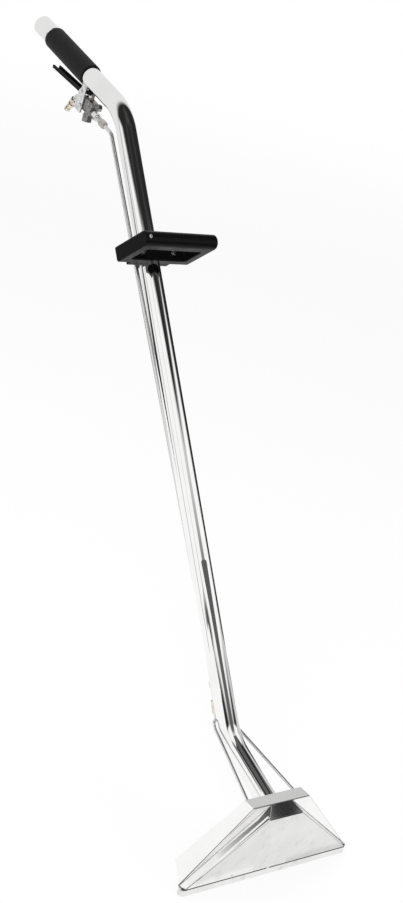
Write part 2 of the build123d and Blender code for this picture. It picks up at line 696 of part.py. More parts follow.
# ---------------------------------------------------------------- bracket and lever
def make_valve_bracket():
    """Folded bracket that hangs the valve and the lever under the tube."""
    foot_n = BODY_N - BRACKET_FOOT
    foot_front = SCREW_S - BRACKET_FOOT_FRONT * 2
    foot_rear = foot_front + BRACKET_FOOT_LENGTH
    saddle_front = GRIP_START - CLEAR - SADDLE_LENGTH
    outline = make_face(Polyline(
        (saddle_front, 0), (GRIP_START - CLEAR, 0),
        (GRIP_START - CLEAR, PIVOT_N + BRACKET_EAR), (foot_rear, PIVOT_N),
        (foot_rear, foot_n), (foot_front, foot_n), close=True))
    bracket = side_plate(UPPER_SIDE, outline, CHEEK_INSIDE, CHEEK_OUTSIDE)
    sharp = bracket.edges().filter_by(Axis.X).sort_by(lambda e: e.center().Z)[:2]
    bracket = fillet(sharp, BRACKET_SHEET)
    bracket += bracket.mirror(Plane.YZ)
    web = Pos((saddle_front + GRIP_START - CLEAR) / 2, -TUBE_R - SADDLE_WEB) * Rectangle(
        SADDLE_LENGTH, TUBE_R, align=(Align.CENTER, Align.MIN))
    bracket += side_plate(UPPER_SIDE, web, -CHEEK_OUTSIDE, CHEEK_OUTSIDE)
    bracket -= round_bar(UPPER_AXIS, TUBE_OD, 0, UPPER_RUN)
    pivot = axis_at(on_upper(PIVOT_S, PIVOT_N, -2 * CHEEK_OUTSIDE), X)
    bracket -= round_bar(pivot, PIN_D + 2 * FIT, 0, 4 * CHEEK_OUTSIDE)
    screws = axis_at(on_upper(SCREW_S, SCREW_N, -2 * CHEEK_OUTSIDE), X)
    return bracket - round_bar(screws, SCREW_D + 2 * FIT, 0, 4 * CHEEK_OUTSIDE)


def make_bracket_screws():
    axis = axis_at(on_upper(SCREW_S, SCREW_N, CHEEK_OUTSIDE), X)
    shank = CHEEK_OUTSIDE - BODY_WIDTH / 2 + SCREW_BITE
    screw = round_bar(axis, SCREW_D, -shank, shank)
    head = round_bar(axis, SCREW_HEAD_D, 0, SCREW_HEAD)
    rim = head.edges().filter_by(GeomType.CIRCLE).sort_by(Axis.X)[-1]
    head = fillet(rim, SCREW_HEAD * 0.6)
    slot = axis.offset(SCREW_HEAD) * Box(1.0, SCREW_HEAD_D, 1.6)
    return both_sides(screw + head - slot)


def make_pivot_pin():
    axis = axis_at(on_upper(PIVOT_S, PIVOT_N, -CHEEK_OUTSIDE - PIN_HEAD), X)
    reach = 2 * CHEEK_OUTSIDE + PIN_HEAD
    pin = round_bar(axis, PIN_HEAD_D, 0, PIN_HEAD) + round_bar(axis, PIN_D, 0, reach + 2.4)
    return chamfer(pin.edges().filter_by(GeomType.CIRCLE).sort_by(Axis.X)[-1], 0.4)


def make_pivot_clip():
    """Push-on washer that keeps the pin."""
    axis = axis_at(on_upper(PIVOT_S, PIVOT_N, CHEEK_OUTSIDE), X)
    clip = round_bar(axis, PIN_HEAD_D + 1, CLEAR / 3, 0.8) - round_bar(axis, PIN_D, 0, 2)
    notch = axis * Box(PIN_D - 1, PIN_HEAD_D, 4, align=(Align.CENTER, Align.MIN, Align.CENTER))
    return clip - notch


def make_trigger_lever():
    """Pressed channel with a nose that reaches over the valve stem."""
    side = Plane(
        on_upper(PIVOT_S, PIVOT_N), x_dir=heading(UPPER_ANGLE - LEVER_DROOP), z_dir=X)
    half = LEVER_WIDTH / 2
    low = LEVER_TOP - LEVER_DEPTH
    nose_low = NOSE_TOP - NOSE_DEPTH
    channel = Polyline(
        (LEVER_EAR_R, LEVER_TOP), (LEVER_REACH, LEVER_TOP), (LEVER_REACH, low),
        (2 * LEVER_EAR_R, low), (LEVER_EAR_R, low / 2), close=True)
    arm = Polyline(
        (-NOSE_REACH, NOSE_TOP), (-LEVER_EAR_R, NOSE_TOP), (LEVER_EAR_R, LEVER_TOP),
        (LEVER_EAR_R, low / 2), (-LEVER_EAR_R, 0), (-NOSE_REACH, nose_low), close=True)
    outline = make_face(channel) + make_face(arm) + Circle(LEVER_EAR_R)
    tip = [v for v in outline.vertices() if v.X > LEVER_REACH - 1]
    outline = fillet(tip, LEVER_TIP_R)
    cheek = side_plate(side, outline, half - LEVER_SHEET, half)
    lever = cheek + cheek.mirror(Plane.YZ)
    web = Polyline(
        (2 * LEVER_EAR_R, low), (LEVER_REACH - LEVER_TIP_R, low),
        (LEVER_REACH - LEVER_TIP_R, low + LEVER_SHEET), (2 * LEVER_EAR_R, low + LEVER_SHEET),
        close=True)
    lever += side_plate(side, make_face(web), -half, half)
    rise = stem_top_above_pivot() + NOSE_GAP
    nose = Polyline(
        (-NOSE_REACH, rise), (-NOSE_REACH, NOSE_TOP), (-NOSE_REACH / 2, NOSE_TOP),
        (-NOSE_REACH / 2, rise), close=True)
    lever += side_plate(side, make_face(nose), -half, half)
    pivot = axis_at(on_upper(PIVOT_S, PIVOT_N, -2 * half), X)
    return lever - round_bar(pivot, PIN_D + 2 * FIT, 0, 4 * half)


def stem_top_above_pivot():
    """Height of the stem's top over the pivot, square to the lever."""
    top = PLUNGER.origin + Z * STEM_RISE
    return (top - on_upper(PIVOT_S, PIVOT_N)).dot(square(UPPER_ANGLE - LEVER_DROOP))


# ---------------------------------------------------------------- D handle
HANDLE = Plane(on_mid(HANDLE_RUN, 0), x_dir=X, z_dir=heading(MID_ANGLE) * -1)
CLAMP_R = TUBE_R + CLAMP_WALL


def handle_screw_x():
    return HANDLE_SCREW_END - HANDLE_WIDTH / 2


def handle_screw_axis():
    front = on_mid(HANDLE_RUN, HANDLE_REACH, handle_screw_x())
    return axis_at(front, square(MID_ANGLE))


def make_handle_screw():
    """Dome-headed screw that pins the grip bar to its core."""
    head = handle_screw_axis() * (Sphere(HANDLE_SCREW_D / 2) & Box(
        HANDLE_SCREW_D, HANDLE_SCREW_D, HANDLE_SCREW_D,
        align=(Align.CENTER, Align.CENTER, Align.MIN)))
    shank = 2 * HANDLE_SCREW_D
    return head + round_bar(handle_screw_axis(), HANDLE_SCREW_D / 2, -shank, shank)


def clamp_blank():
    """Clamp before it is split: a round boss with a flat ear on each side."""
    reach = 2 * (CLAMP_EAR_X + CLAMP_EAR_R)
    section = Circle(CLAMP_R) + Rectangle(reach, 2 * (CLAMP_EAR + CLAMP_SPLIT))
    return Pos(0, 0, -CLAMP_ABOVE) * extrude(section, CLAMP_ABOVE + CLAMP_BELOW)


def make_d_handle():
    """Moulded loop with a round-nosed grip bar and the front half of the clamp."""
    depth = HANDLE_REACH - HANDLE_BACK
    middle = (HANDLE_REACH + HANDLE_BACK) / 2
    side = Pos(middle, 0) * Rectangle(depth, HANDLE_THICK)
    side = fillet(side.vertices().sort_by(Axis.X)[-2:], HANDLE_NOSE_R)
    side = fillet(side.vertices().sort_by(Axis.X)[:2], HANDLE_HEEL_R)
    loop = extrude(Plane.YZ * side, HANDLE_WIDTH / 2, both=True)
    ends = loop.faces().sort_by(Axis.X)
    loop = fillet(ends[0].edges() + ends[-1].edges(), HANDLE_END_R)
    hole_depth = depth - HANDLE_BAR - HANDLE_REAR
    hole = Pos(0, HANDLE_BACK + HANDLE_REAR + hole_depth / 2, 0) * Box(
        HANDLE_WIDTH - 2 * HANDLE_ARM, hole_depth, 2 * HANDLE_THICK)
    loop -= fillet(hole.edges().filter_by(Axis.Z), 2 * HANDLE_HOLE_R)
    upper = loop.faces().sort_by(Axis.Z)[0]
    lower = loop.faces().sort_by(Axis.Z)[-1]
    rims = upper.inner_wires()[0].edges() + lower.inner_wires()[0].edges()
    loop = fillet(rims, HANDLE_HOLE_R)
    boss = clamp_blank()
    front_half = Pos(0, CLAMP_SPLIT, 0) * Box(
        HANDLE_WIDTH, HANDLE_BACK + HANDLE_REAR - CLAMP_SPLIT, 4 * CLAMP_BELOW,
        align=(Align.CENTER, Align.MIN, Align.CENTER))
    loop += boss & front_half
    loop -= Cylinder(TUBE_R + FIT, 4 * CLAMP_BELOW)
    loop -= Pos(handle_screw_x(), HANDLE_REACH, 0) * Rot(-90, 0, 0) * Cylinder(
        HANDLE_SCREW_D / 4, 4 * HANDLE_SCREW_D)
    for x in (-CLAMP_EAR_X, CLAMP_EAR_X):
        hole = Pos(x, 0, 0) * Rot(-90, 0, 0) * Cylinder(BOLT_D / 2 + FIT, 4 * HANDLE_THICK)
        loop -= hole & (Pos(0, HANDLE_REACH / 4, 0) * Box(
            HANDLE_WIDTH, HANDLE_REACH / 2, HANDLE_THICK))
    return HANDLE * loop


def make_handle_clamp():
    """Rear half of the tube clamp."""
    boss = clamp_blank()
    rear_half = Pos(0, -CLAMP_SPLIT, 0) * Box(
        HANDLE_WIDTH, 2 * CLAMP_R, 4 * CLAMP_BELOW,
        align=(Align.CENTER, Align.MAX, Align.CENTER))
    clamp = boss & rear_half
    clamp -= Cylinder(TUBE_R + FIT, 4 * CLAMP_BELOW)
    for x in (-CLAMP_EAR_X, CLAMP_EAR_X):
        clamp -= Pos(x, 0, 0) * Rot(-90, 0, 0) * Cylinder(BOLT_D / 2 + FIT, 4 * CLAMP_R)
    return HANDLE * clamp


def bolt_plane(side):
    """Bolt frame at the back of the clamp's ear, pointing to the front."""
    back = on_mid(HANDLE_RUN, -CLAMP_EAR - CLAMP_SPLIT, side * CLAMP_EAR_X)
    return axis_at(back, square(MID_ANGLE))


def clamp_grip_length():
    """Thickness that the clamp bolts pull together."""
    return CLAMP_EAR + CLAMP_SPLIT + HANDLE_BACK + HANDLE_REAR


def make_clamp_bolts():
    length = clamp_grip_length() + NUT_HEIGHT + BOLT_TAIL
    bolts = []
    for side in (-1, 1):
        head = hex_bar(bolt_plane(side), BOLT_AF, -BOLT_HEAD, BOLT_HEAD)
        bolts.append(head + round_bar(bolt_plane(side), BOLT_D, 0, length))
    return Compound(children=bolts)


def make_clamp_nuts():
    nuts = []
    for side in (-1, 1):
        nut = hex_bar(bolt_plane(side), BOLT_AF, clamp_grip_length(), NUT_HEIGHT)
        nuts.append(nut - round_bar(bolt_plane(side), BOLT_D, 0, 2 * HANDLE_REACH))
    return Compound(children=nuts)


# ---------------------------------------------------------------- build
def make_parts():
    return {
        "wand_tube": make_wand_tube(),
        "grip_sleeve": make_grip_sleeve(),
        "vacuum_shoe": make_vacuum_shoe(),
        "spray_hood": make_spray_hood(),
        "mouth_lip": make_mouth_lip(),
        "jet_brackets": make_jet_brackets(),
        "jet_bodies": make_jet_bodies(),
        "jet_tips": make_jet_tips(),
        "jet_nuts": make_jet_nuts(),
        "left_feed_pipe": make_feed_pipe(-1),
        "right_feed_pipe": make_feed_pipe(1),
        "line_splitter": make_line_splitter(),
        "splitter_nut": make_splitter_nut(),
        "solution_line": make_solution_line(),
        "line_clip": make_line_clip(),
        "valve_body": make_valve_body(),
        "valve_stem": make_valve_stem(),
        "stem_seal": make_stem_seal(),
        "gland_nut": make_gland_nut(),
        "valve_cap_nut": make_cap_nut(),
        "return_spring": make_return_spring(),
        "side_plug": make_side_plug(),
        "outlet_union": make_outlet_union(),
        "line_nut": make_line_nut(),
        "inlet_elbow": make_inlet_elbow(),
        "inlet_nipple": make_inlet_nipple(),
        "valve_bracket": make_valve_bracket(),
        "bracket_screws": make_bracket_screws(),
        "pivot_pin": make_pivot_pin(),
        "pivot_clip": make_pivot_clip(),
        "trigger_lever": make_trigger_lever(),
        "d_handle": make_d_handle(),
        "handle_clamp": make_handle_clamp(),
        "handle_screw": make_handle_screw(),
        "clamp_bolts": make_clamp_bolts(),
        "clamp_nuts": make_clamp_nuts(),
    }


os.makedirs("parts", exist_ok=True)
for name, shape in make_parts().items():
    export_step(shape, f"parts/{name}.step")
    print(name, round(shape.volume, 1))
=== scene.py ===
from math import cos, degrees, pi, radians, sin, tan

import bmesh
import bpy
from mathutils import Matrix, Vector


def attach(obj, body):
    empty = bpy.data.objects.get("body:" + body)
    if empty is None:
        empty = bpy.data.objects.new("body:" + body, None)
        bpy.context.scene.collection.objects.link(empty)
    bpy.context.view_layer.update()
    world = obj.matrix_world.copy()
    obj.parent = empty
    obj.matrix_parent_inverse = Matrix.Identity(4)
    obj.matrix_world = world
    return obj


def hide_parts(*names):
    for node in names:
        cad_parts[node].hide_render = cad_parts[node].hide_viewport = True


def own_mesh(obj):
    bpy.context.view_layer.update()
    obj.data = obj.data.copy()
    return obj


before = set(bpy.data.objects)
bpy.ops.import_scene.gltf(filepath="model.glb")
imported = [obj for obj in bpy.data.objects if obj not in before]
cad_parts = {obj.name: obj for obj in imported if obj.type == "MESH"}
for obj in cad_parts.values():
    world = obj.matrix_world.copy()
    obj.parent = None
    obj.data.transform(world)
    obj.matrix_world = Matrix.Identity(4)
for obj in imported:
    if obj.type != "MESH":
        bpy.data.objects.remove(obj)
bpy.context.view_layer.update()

# Sizes are in millimetres and angles in degrees, and the frame is in metres.
MM = 0.001
LOWER_ANGLE = 18.5       # rise of each straight run above the floor
MID_ANGLE = 52.0
UPPER_ANGLE = 14.3
LOWER_RUN = 134.0        # from corner to corner, before the bends round them off
MID_RUN = 972.0
UPPER_RUN = 286.0
LOWER_BEND_R = 80.0      # at the tube's axis
UPPER_BEND_R = 95.0
TUBE_R = 15.875
BORE_R = 14.375
TUBE_SIDES = 128
CUFF_GROOVE = (42.0, 43.6)   # stop for the hose cuff, from the hose end
CUFF_GROOVE_DEPTH = 0.4
CUFF_CHAMFER = 0.6
LINE_R = 3.175           # solution line
FEED_R = 2.38            # feed pipes to the jets
PIPE_SIDES = 40
FEED_BEND_R = 5.5
VALVE_DROP = -44.0       # the line's level at the valve, square to the upper run
LINE_DROP = -22.5        # and at the splitter, square to the long run
JET_X = 44.0             # the jets' places to each side and behind the lip
JET_Y = 25.0
ENTRY_HEIGHT = 91.0      # the tube's axis at the back of the hood panel
PANEL_Y = 8.2            # front of the hood panel
PANEL_BACK = 9.7
HEAD_TOP = 117.0
LIP_TOP = 13.0
HOOD_FOLD = (51.5, 0.970, HEAD_TOP)   # half width at the top, spread downwards, top
SHOE_FOLD = (31.0, 1.279, 103.2)
SHOE_FRONT = -3.0        # y at which the shoe's flanks meet its front
FLANK_ROLL = 2.8         # how far back from there the left flank sags, and how fast
FLANK_SAG = -0.06
SHELL_RADIUS = 1.4       # in metres, as all of the stage is
SHELL_CENTRE = (0.0, 0.45, 0.5)
SHELL_LIT = 0.97         # levels of what its lamps reach and of the rest
SHELL_UNLIT = 0.022
CAMERA_PLACE = (-1.3557, -1.1944, 1.2760)
CAMERA_AHEAD = Vector((0.615, 0.704, -0.3552))
CAMERA_RIGHT = Vector((0.7875, -0.5711, 0.2317))
CAMERA_LENS = 59.91
CAMERA_SENSOR = 36.0

# Name, place, bearing and rise that it faces, width, height, level and level at the rim.
CARDS = [
    ("flange_card", (0.156, 0.160, 0.251), 48, 33, 0.16, 0.08, 0.62, None),
    ("side_card", (0.32, 0.10, 0.20), 90, 10, 0.20, 0.32, 0.72, 0.45),
    ("front_flag", (0.158, -0.116, 0.265), 127, 38, 0.07, 0.07, 0.02, 0.40),
    ("bend_flag", (-0.200, 0.155, 0.340), -76, 46, 0.14, 0.14, 0.10, 0.50),
    ("crown_card", (0.0, 0.10, 0.42), 180, 82, 0.16, 0.20, 0.11, None),
    ("left_card", (-0.249, 0.165, 0.208), -46, 35, 0.24, 0.24, 1.0, None),
    ("fill_card", (-0.10, -0.28, 0.21), -169, 32, 0.34, 0.20, 0.95, None),
]

# Name, place, target, width and power.
LAMPS = [
    ("key", (-2.2, -0.8, 2.8), (0, 0.5, 0.4), 1.8, 60),
    ("fill", (1.8, -1.8, 1.8), (0, 0.4, 0.4), 1.6, 22),
    ("top", (0.2, 1.6, 3.0), (0, 0.5, 0.4), 2.0, 30),
]


# ------------------------------------------------------------------ shader kit
class Value:
    """A shader value that adds its Math nodes when it is used in an expression."""

    def __init__(self, paint, socket):
        self.paint = paint
        self.socket = socket

    def math(self, operation, *inputs):
        return self.paint.add("ShaderNodeMath", {"operation": operation}, inputs)

    def __add__(self, other):
        return self.math("ADD", self, other)

    __radd__ = __add__

    def __sub__(self, other):
        return self.math("SUBTRACT", self, other)

    def __rsub__(self, other):
        return self.math("SUBTRACT", other, self)

    def __mul__(self, other):
        return self.math("MULTIPLY", self, other)

    __rmul__ = __mul__

    def __truediv__(self, other):
        return self.math("DIVIDE", self, other)

    def size(self):
        return self.math("ABSOLUTE", self)

    def larger(self, other):
        return self.math("MAXIMUM", self, other)

    def step(self, low, high, out_low=0.0, out_high=1.0):
        """Smooth step: out_low up to low, out_high from high on."""
        return self.paint.add(
            "ShaderNodeMapRange", {"interpolation_type": "SMOOTHSTEP"},
            {"Value": self, "From Min": low, "From Max": high,
             "To Min": out_low, "To Max": out_high})


class Paint:
    """Builds the nodes of one material, of the world or of a Geometry Nodes tree."""

    def __init__(self, tree):
        self.tree = tree
        self.tree.nodes.clear()

    def add(self, kind, settings, inputs, output=0):
        """One node: its settings first, then the values or links of its sockets."""
        node = self.tree.nodes.new(kind)
        for name, setting in settings.items():
            setattr(node, name, setting)
        named = inputs.items() if isinstance(inputs, dict) else enumerate(inputs)
        for key, given in named:
            self.put(node.inputs[key], given)
        return Value(self, node.outputs[output]) if node.outputs else None

    def put(self, socket, given):
        if isinstance(given, Value):
            self.tree.links.new(given.socket, socket)
        else:
            socket.default_value = given

    def place(self):
        """Object coordinates, in metres."""
        return self.add("ShaderNodeTexCoord", {}, {}, output="Object")

    def turned(self, tilt, stretch):
        """Object coordinates turned about X by tilt degrees, then stretched."""
        return self.add(
            "ShaderNodeMapping", {"vector_type": "POINT"},
            {"Vector": self.add(
                "ShaderNodeMapping", {"vector_type": "POINT"},
                {"Vector": self.place(), "Rotation": (radians(-tilt), 0, 0)}),
             "Scale": stretch})

    def noise(self, where, scale, detail=2.0, roughness=0.5):
        return self.add(
            "ShaderNodeTexNoise", {},
            {"Vector": where, "Scale": scale, "Detail": detail,
             "Roughness": roughness}, output="Fac")

    def cells(self, where, scale):
        return self.add(
            "ShaderNodeTexVoronoi", {"feature": "F1"},
            {"Vector": where, "Scale": scale}, output="Distance")

    def blend(self, share, first, second):
        """Colour between first and second."""
        return self.add(
            "ShaderNodeMix", {"data_type": "RGBA"},
            {0: share, 6: first, 7: second}, output=2)

    def compass(self, centre):
        """Unit vector from a point, its bearings from +Y and -Y and its rise in degrees."""
        away = self.add("ShaderNodeVectorMath", {"operation": "SUBTRACT"}, [self.place(), centre])
        unit = self.add("ShaderNodeVectorMath", {"operation": "NORMALIZE"}, [away])
        x, y, z = self.parts(unit)
        ahead = x.math("ARCTAN2", x, y) * degrees(1)
        behind = x.math("ARCTAN2", x * -1, y * -1) * degrees(1)
        rise = z.math("ARCSINE", z) * degrees(1)
        return unit, ahead, behind, rise

    def relief(self, height, depth, strength=1.0):
        """Bump from a height, which is depth metres for each unit."""
        return self.add(
            "ShaderNodeBump", {},
            {"Height": height, "Distance": depth, "Strength": strength})

    def seen(self):
        """1 for the rays that may see white paper: camera, glossy and transmission."""
        ray = self.tree.nodes.new("ShaderNodeLightPath")
        return Value(self, ray.outputs["Is Camera Ray"]).larger(
            Value(self, ray.outputs["Is Glossy Ray"])).larger(
            Value(self, ray.outputs["Is Transmission Ray"]))

    def parts(self, vector):
        split = self.tree.nodes.new("ShaderNodeSeparateXYZ")
        self.tree.links.new(vector.socket, split.inputs[0])
        return [Value(self, out) for out in split.outputs]


def bare_material(name):
    material = bpy.data.materials.new(name)
    material.use_nodes = True
    return material, Paint(material.node_tree)


def finish(name, metallic=0.0, ior=1.5):
    """A new material with its Principled shader's constant sockets set."""
    material, paint = bare_material(name)
    shader = paint.tree.nodes.new("ShaderNodeBsdfPrincipled")
    out = paint.tree.nodes.new("ShaderNodeOutputMaterial")
    paint.tree.links.new(shader.outputs[0], out.inputs[0])
    shader.inputs["Metallic"].default_value = metallic
    shader.inputs["IOR"].default_value = ior
    return material, paint, shader.inputs


def grey(level, warmth=0.0):
    """A grey of one level, a little redder and less blue by its warmth."""
    return (level * (1 + warmth), level, level * (1 - warmth), 1.0)


# ------------------------------------------------------------------ the wand's axis
def heading(angle):
    """Unit vector in the YZ plane, rising back to the operator."""
    return Vector((0, cos(radians(angle)), sin(radians(angle))))


def square(angle):
    """Unit vector square to heading(angle), on its upper front side."""
    return Vector((0, -sin(radians(angle)), cos(radians(angle))))


ENTRY = Vector((0, PANEL_BACK, ENTRY_HEIGHT))
LOWER_CORNER = ENTRY + heading(LOWER_ANGLE) * LOWER_RUN
UPPER_CORNER = LOWER_CORNER + heading(MID_ANGLE) * MID_RUN
HOSE_END = UPPER_CORNER + heading(UPPER_ANGLE) * UPPER_RUN


def on_upper(s, n, x=0.0):
    """Point beside the upper run: s along it, n square to it."""
    return UPPER_CORNER + heading(UPPER_ANGLE) * s + square(UPPER_ANGLE) * n + Vector((x, 0, 0))


def on_mid(s, n, x=0.0):
    """Point beside the long run."""
    return LOWER_CORNER + heading(MID_ANGLE) * s + square(MID_ANGLE) * n + Vector((x, 0, 0))


# ------------------------------------------------------------------ finishes
def polished_steel(name, tilt=0.0, tone=0.93, smooth=0.035, grain=0.10, smear=0.93,
                   dark=None, rolled=None):
    """Mirror-polished stainless: faint buffing lines, wipe marks and fine scratches.

    The lines run along Y when tilt is 0. dark gives a mask of grime and shade, and rolled
    a sag of the sheet in millimetres.
    """
    warmth = 0.004
    material, paint, into = finish(name, metallic=1.0)
    along = paint.turned(tilt, (1.0, 0.02, 1.0))
    lines = paint.noise(along, 2600, detail=3)
    haze = paint.noise(paint.place(), 22, detail=3)
    scratch = paint.noise(paint.turned(tilt + 24, (1.0, 0.012, 1.0)), 1300, detail=1)
    marks = scratch.step(0.70, 0.78)
    wipe = haze.step(0.35, 0.75)
    skin = paint.blend(
        wipe * 0.5 + marks * 0.25, grey(tone, warmth), grey(tone * smear, warmth * 2))
    if dark:
        skin = paint.blend(dark(paint), skin, grey(0.06))
    paint.put(into["Base Color"], skin)
    paint.put(into["Roughness"], lines * (grain * 0.3) + wipe * 0.025 + marks * 0.06 + smooth)
    bumps = paint.relief(lines + marks * 0.6, 0.000004, 0.35)
    if rolled:
        bumps = paint.add("ShaderNodeBump", {}, {
            "Strength": 1.0, "Distance": MM, "Height": rolled(paint), "Normal": bumps})
    paint.put(into["Normal"], bumps)
    return material


def in_mm(paint):
    """Distance from the middle plane, y, z and signed x, in millimetres."""
    x, y, z = paint.parts(paint.place())
    return x.size() * 1000, y * 1000, z * 1000, x * 1000


def off_fold(x, z, fold):
    """Distance, measured across the part, from a fold that spreads towards the floor."""
    half, spread, top = fold
    return (x - half - (z * -1 + top) * spread).size()


def hood_folds(paint):
    """Shade in the hood's folds: beside the panel and along its top."""
    x, y, z, _ = in_mm(paint)
    side = off_fold(x, z, HOOD_FOLD).step(0.5, 1.3, 1, 0)
    top = z.step(HEAD_TOP - 1.5, HEAD_TOP - 0.9)
    return side.larger(top) * y.step(8.9, 9.6, 0.62, 0)


def shoe_marks_and_shade(paint):
    """Painted shade in the shoe's right fold and along its foot, smudges, a scratch, a spot
    and a painted dimming of all but the left flank, which stays a painted highlight."""
    x, y, z, across = in_mm(paint)
    # Painted shade along the right fold only.
    fold = off_fold(x, z, SHOE_FOLD).step(0.4, 1.4, 0.4, 0) * across.step(-1, 1)
    # Painted shade along the foot, in the gap above the lip.
    foot = z.step(LIP_TOP + 0.3, LIP_TOP + 0.9, 0.6, 0) * y.step(-1.5, 0, 1, 0)
    smudge = paint.noise(paint.place(), 58, detail=4, roughness=0.6).step(0.52, 0.72) * 0.10
    scribe = ((z - 17.2).size().step(0.2, 0.5, 0.22, 0)
              * across.step(-104, -96) * across.step(-30, -22, 1, 0))
    spot = (across + 68).size().step(1.0, 3.0, 1, 0) * (z - 16.2).size().step(0.3, 0.8, 0.8, 0)
    # Real smudges, the scratch and the spot, together with the painted shade of the fold and
    # foot.
    marks = fold.larger(foot).larger(smudge).larger(scribe).larger(spot)
    front = y.step(SHOE_FRONT - 0.6, SHOE_FRONT, 1, 0)
    # Painted shade: the front, top and right flank are dimmed so that the left flank stays bright
    # as a painted highlight.
    painted_dimming = front.larger(across.step(-31, -30)) * 0.15 + across.step(30, 31) * (1 - front) * 0.13
    return 1 - (1 - marks) * (1 - painted_dimming)


def shoe_roll(paint):
    """Sag of the shoe's left flank, in mm, where it was bent round to the front."""
    _, y, _, across = in_mm(paint)
    near = (FLANK_ROLL - (y - SHOE_FRONT).larger(0)).larger(0)
    return near * near * FLANK_SAG * across.step(-30, -29, 1, 0)


def lip_groove(paint):
    """Painted shade in the groove above the lip, bridged at its middle, and smudges."""
    x, y, z, _ = in_mm(paint)
    smudge = paint.noise(paint.place(), 60, detail=4).step(0.50, 0.75) * 0.16
    # Painted shade in the groove, darkest at the front.
    groove_shade = z.step(LIP_TOP - 2.9, LIP_TOP - 2.5) * x.step(2.0, 2.8) * y.step(1, 3, 0.95, 0.2)
    return groove_shade.larger(smudge)


def plated(name, colour, rough, stain=0.6):
    """Turned fitting: fine lathe marks with a film of tarnish in patches."""
    material, paint, into = finish(name, metallic=1.0)
    patches = paint.noise(paint.place(), 260, detail=4, roughness=0.6).step(0.42, 0.68)
    grains = paint.noise(paint.place(), 2400, detail=2)
    dark = tuple(c * stain for c in colour[:3]) + (1.0,)
    paint.put(into["Base Color"], paint.blend(patches * 0.8, colour, dark))
    paint.put(into["Roughness"], patches * 0.16 + grains * 0.10 + rough)
    paint.put(into["Normal"], paint.relief(grains, 0.00002, 0.4))
    return material


def moulded_plastic(name, tone=0.004, rough=0.26):
    """Black moulding: fine spark texture, a few scuffs that catch the light."""
    material, paint, into = finish(name, ior=1.16)
    skin = paint.noise(paint.place(), 1500, detail=3)
    scuff = paint.noise(paint.turned(30, (1.0, 0.2, 1.0)), 240, detail=3).step(0.66, 0.80)
    worn = paint.noise(paint.place(), 36, detail=2).step(0.35, 0.75)
    paint.put(into["Base Color"], paint.blend(scuff * 0.5, grey(tone), grey(tone * 3)))
    paint.put(into["Roughness"], worn * 0.10 + skin * 0.08 + scuff * 0.12 + rough)
    paint.put(into["Normal"], paint.relief(skin, 0.00003, 0.5))
    return material


def foam(name):
    """Black foam or rubber: open pores over a dull skin."""
    material, paint, into = finish(name, ior=1.3)
    pores = paint.cells(paint.place(), 900)
    coarse = paint.noise(paint.place(), 420, detail=4, roughness=0.65)
    patch = paint.noise(paint.place(), 40, detail=2).step(0.35, 0.7)
    height = pores.step(0.0, 0.55) + coarse
    paint.put(into["Base Color"], paint.blend(
        coarse.step(0.4, 0.75) * 0.6 + patch * 0.2, grey(0.003), grey(0.012)))
    paint.put(into["Roughness"], coarse * 0.15 + patch * 0.06 + 0.50)
    paint.put(into["Normal"], paint.relief(height, 0.0002, 0.6))
    return material


# One finish for each slot, and one for the node spray_hood, which has its own painted shade in
# its folds.
FINISHES = {
    "polished_tube": polished_steel("tube_polish", tilt=MID_ANGLE),
    "polished_head": polished_steel(
        "shoe_polish", tone=0.92, smooth=0.07, grain=0.2, smear=0.86, dark=shoe_marks_and_shade,
        rolled=shoe_roll),
    "spray_hood": polished_steel("hood_polish", smooth=0.06, grain=0.2, dark=hood_folds),
    "polished_lip": polished_steel(
        "lip_polish", tone=0.86, smooth=0.08, grain=0.2, smear=0.86, dark=lip_groove),
    "pipe_steel": polished_steel("pipe_polish", tilt=MID_ANGLE, tone=0.80, smooth=0.28),
    "grip_foam": foam("grip_foam_skin"),
    "handle_plastic": moulded_plastic("handle_moulding"),
    "lever_coat": moulded_plastic("lever_coating", tone=0.006, rough=0.36),
    "bracket_steel": plated("bracket_plate", grey(0.84), rough=0.24, stain=0.7),
    "valve_steel": plated("valve_oxide", grey(0.34, 0.02), rough=0.26, stain=0.3),
    "stem_steel": plated("stem_ground", grey(0.7), rough=0.15),
    "spring_steel": plated("spring_wire", grey(0.55), rough=0.2),
    "jet_steel": plated("jet_turned", grey(0.6), rough=0.2),
    "bolt_steel": plated("bolt_zinc", grey(0.72), rough=0.18),
    "brass": plated("brass_turned", (0.80, 0.75, 0.66, 1), rough=0.2),
    "inlet_brass": plated("inlet_brass_turned", (0.84, 0.78, 0.67, 1), rough=0.2),
    "union_nickel": plated("union_plate", grey(0.85, 0.01), rough=0.12, stain=0.85),
    "ferrule_nickel": plated("ferrule_plate", grey(0.56, 0.06), rough=0.25, stain=0.7),
    "seal_rubber": foam("seal_skin"),
}


def dress_nodes():
    """Every CAD node wears its own finish, or else its slot's."""
    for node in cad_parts.values():
        for place in node.material_slots:
            own = FINISHES.get(node.name)
            place.material = own or FINISHES[place.material.name.split(".")[0]]


# ------------------------------------------------------------------ the bent tube
def bent_path(points, radii):
    """Points and headings along straight runs joined by finely stepped bends."""
    into = (points[1] - points[0]).normalized()
    rows = [(points[0], into)]
    for corner, after, radius in zip(points[1:], points[2:], radii):
        out = (after - corner).normalized()
        turn = into.angle(out)
        inward = (out - into * out.dot(into)).normalized()
        centre = corner - into * (radius * tan(turn / 2)) + inward * radius
        count = int(turn * 50) + 6
        for angle in (turn * step / count for step in range(count + 1)):
            way = into * cos(angle) + inward * sin(angle)
            rows.append((centre + (into * sin(angle) - inward * cos(angle)) * radius, way))
        into = out
    return rows + [(points[-1], into)]


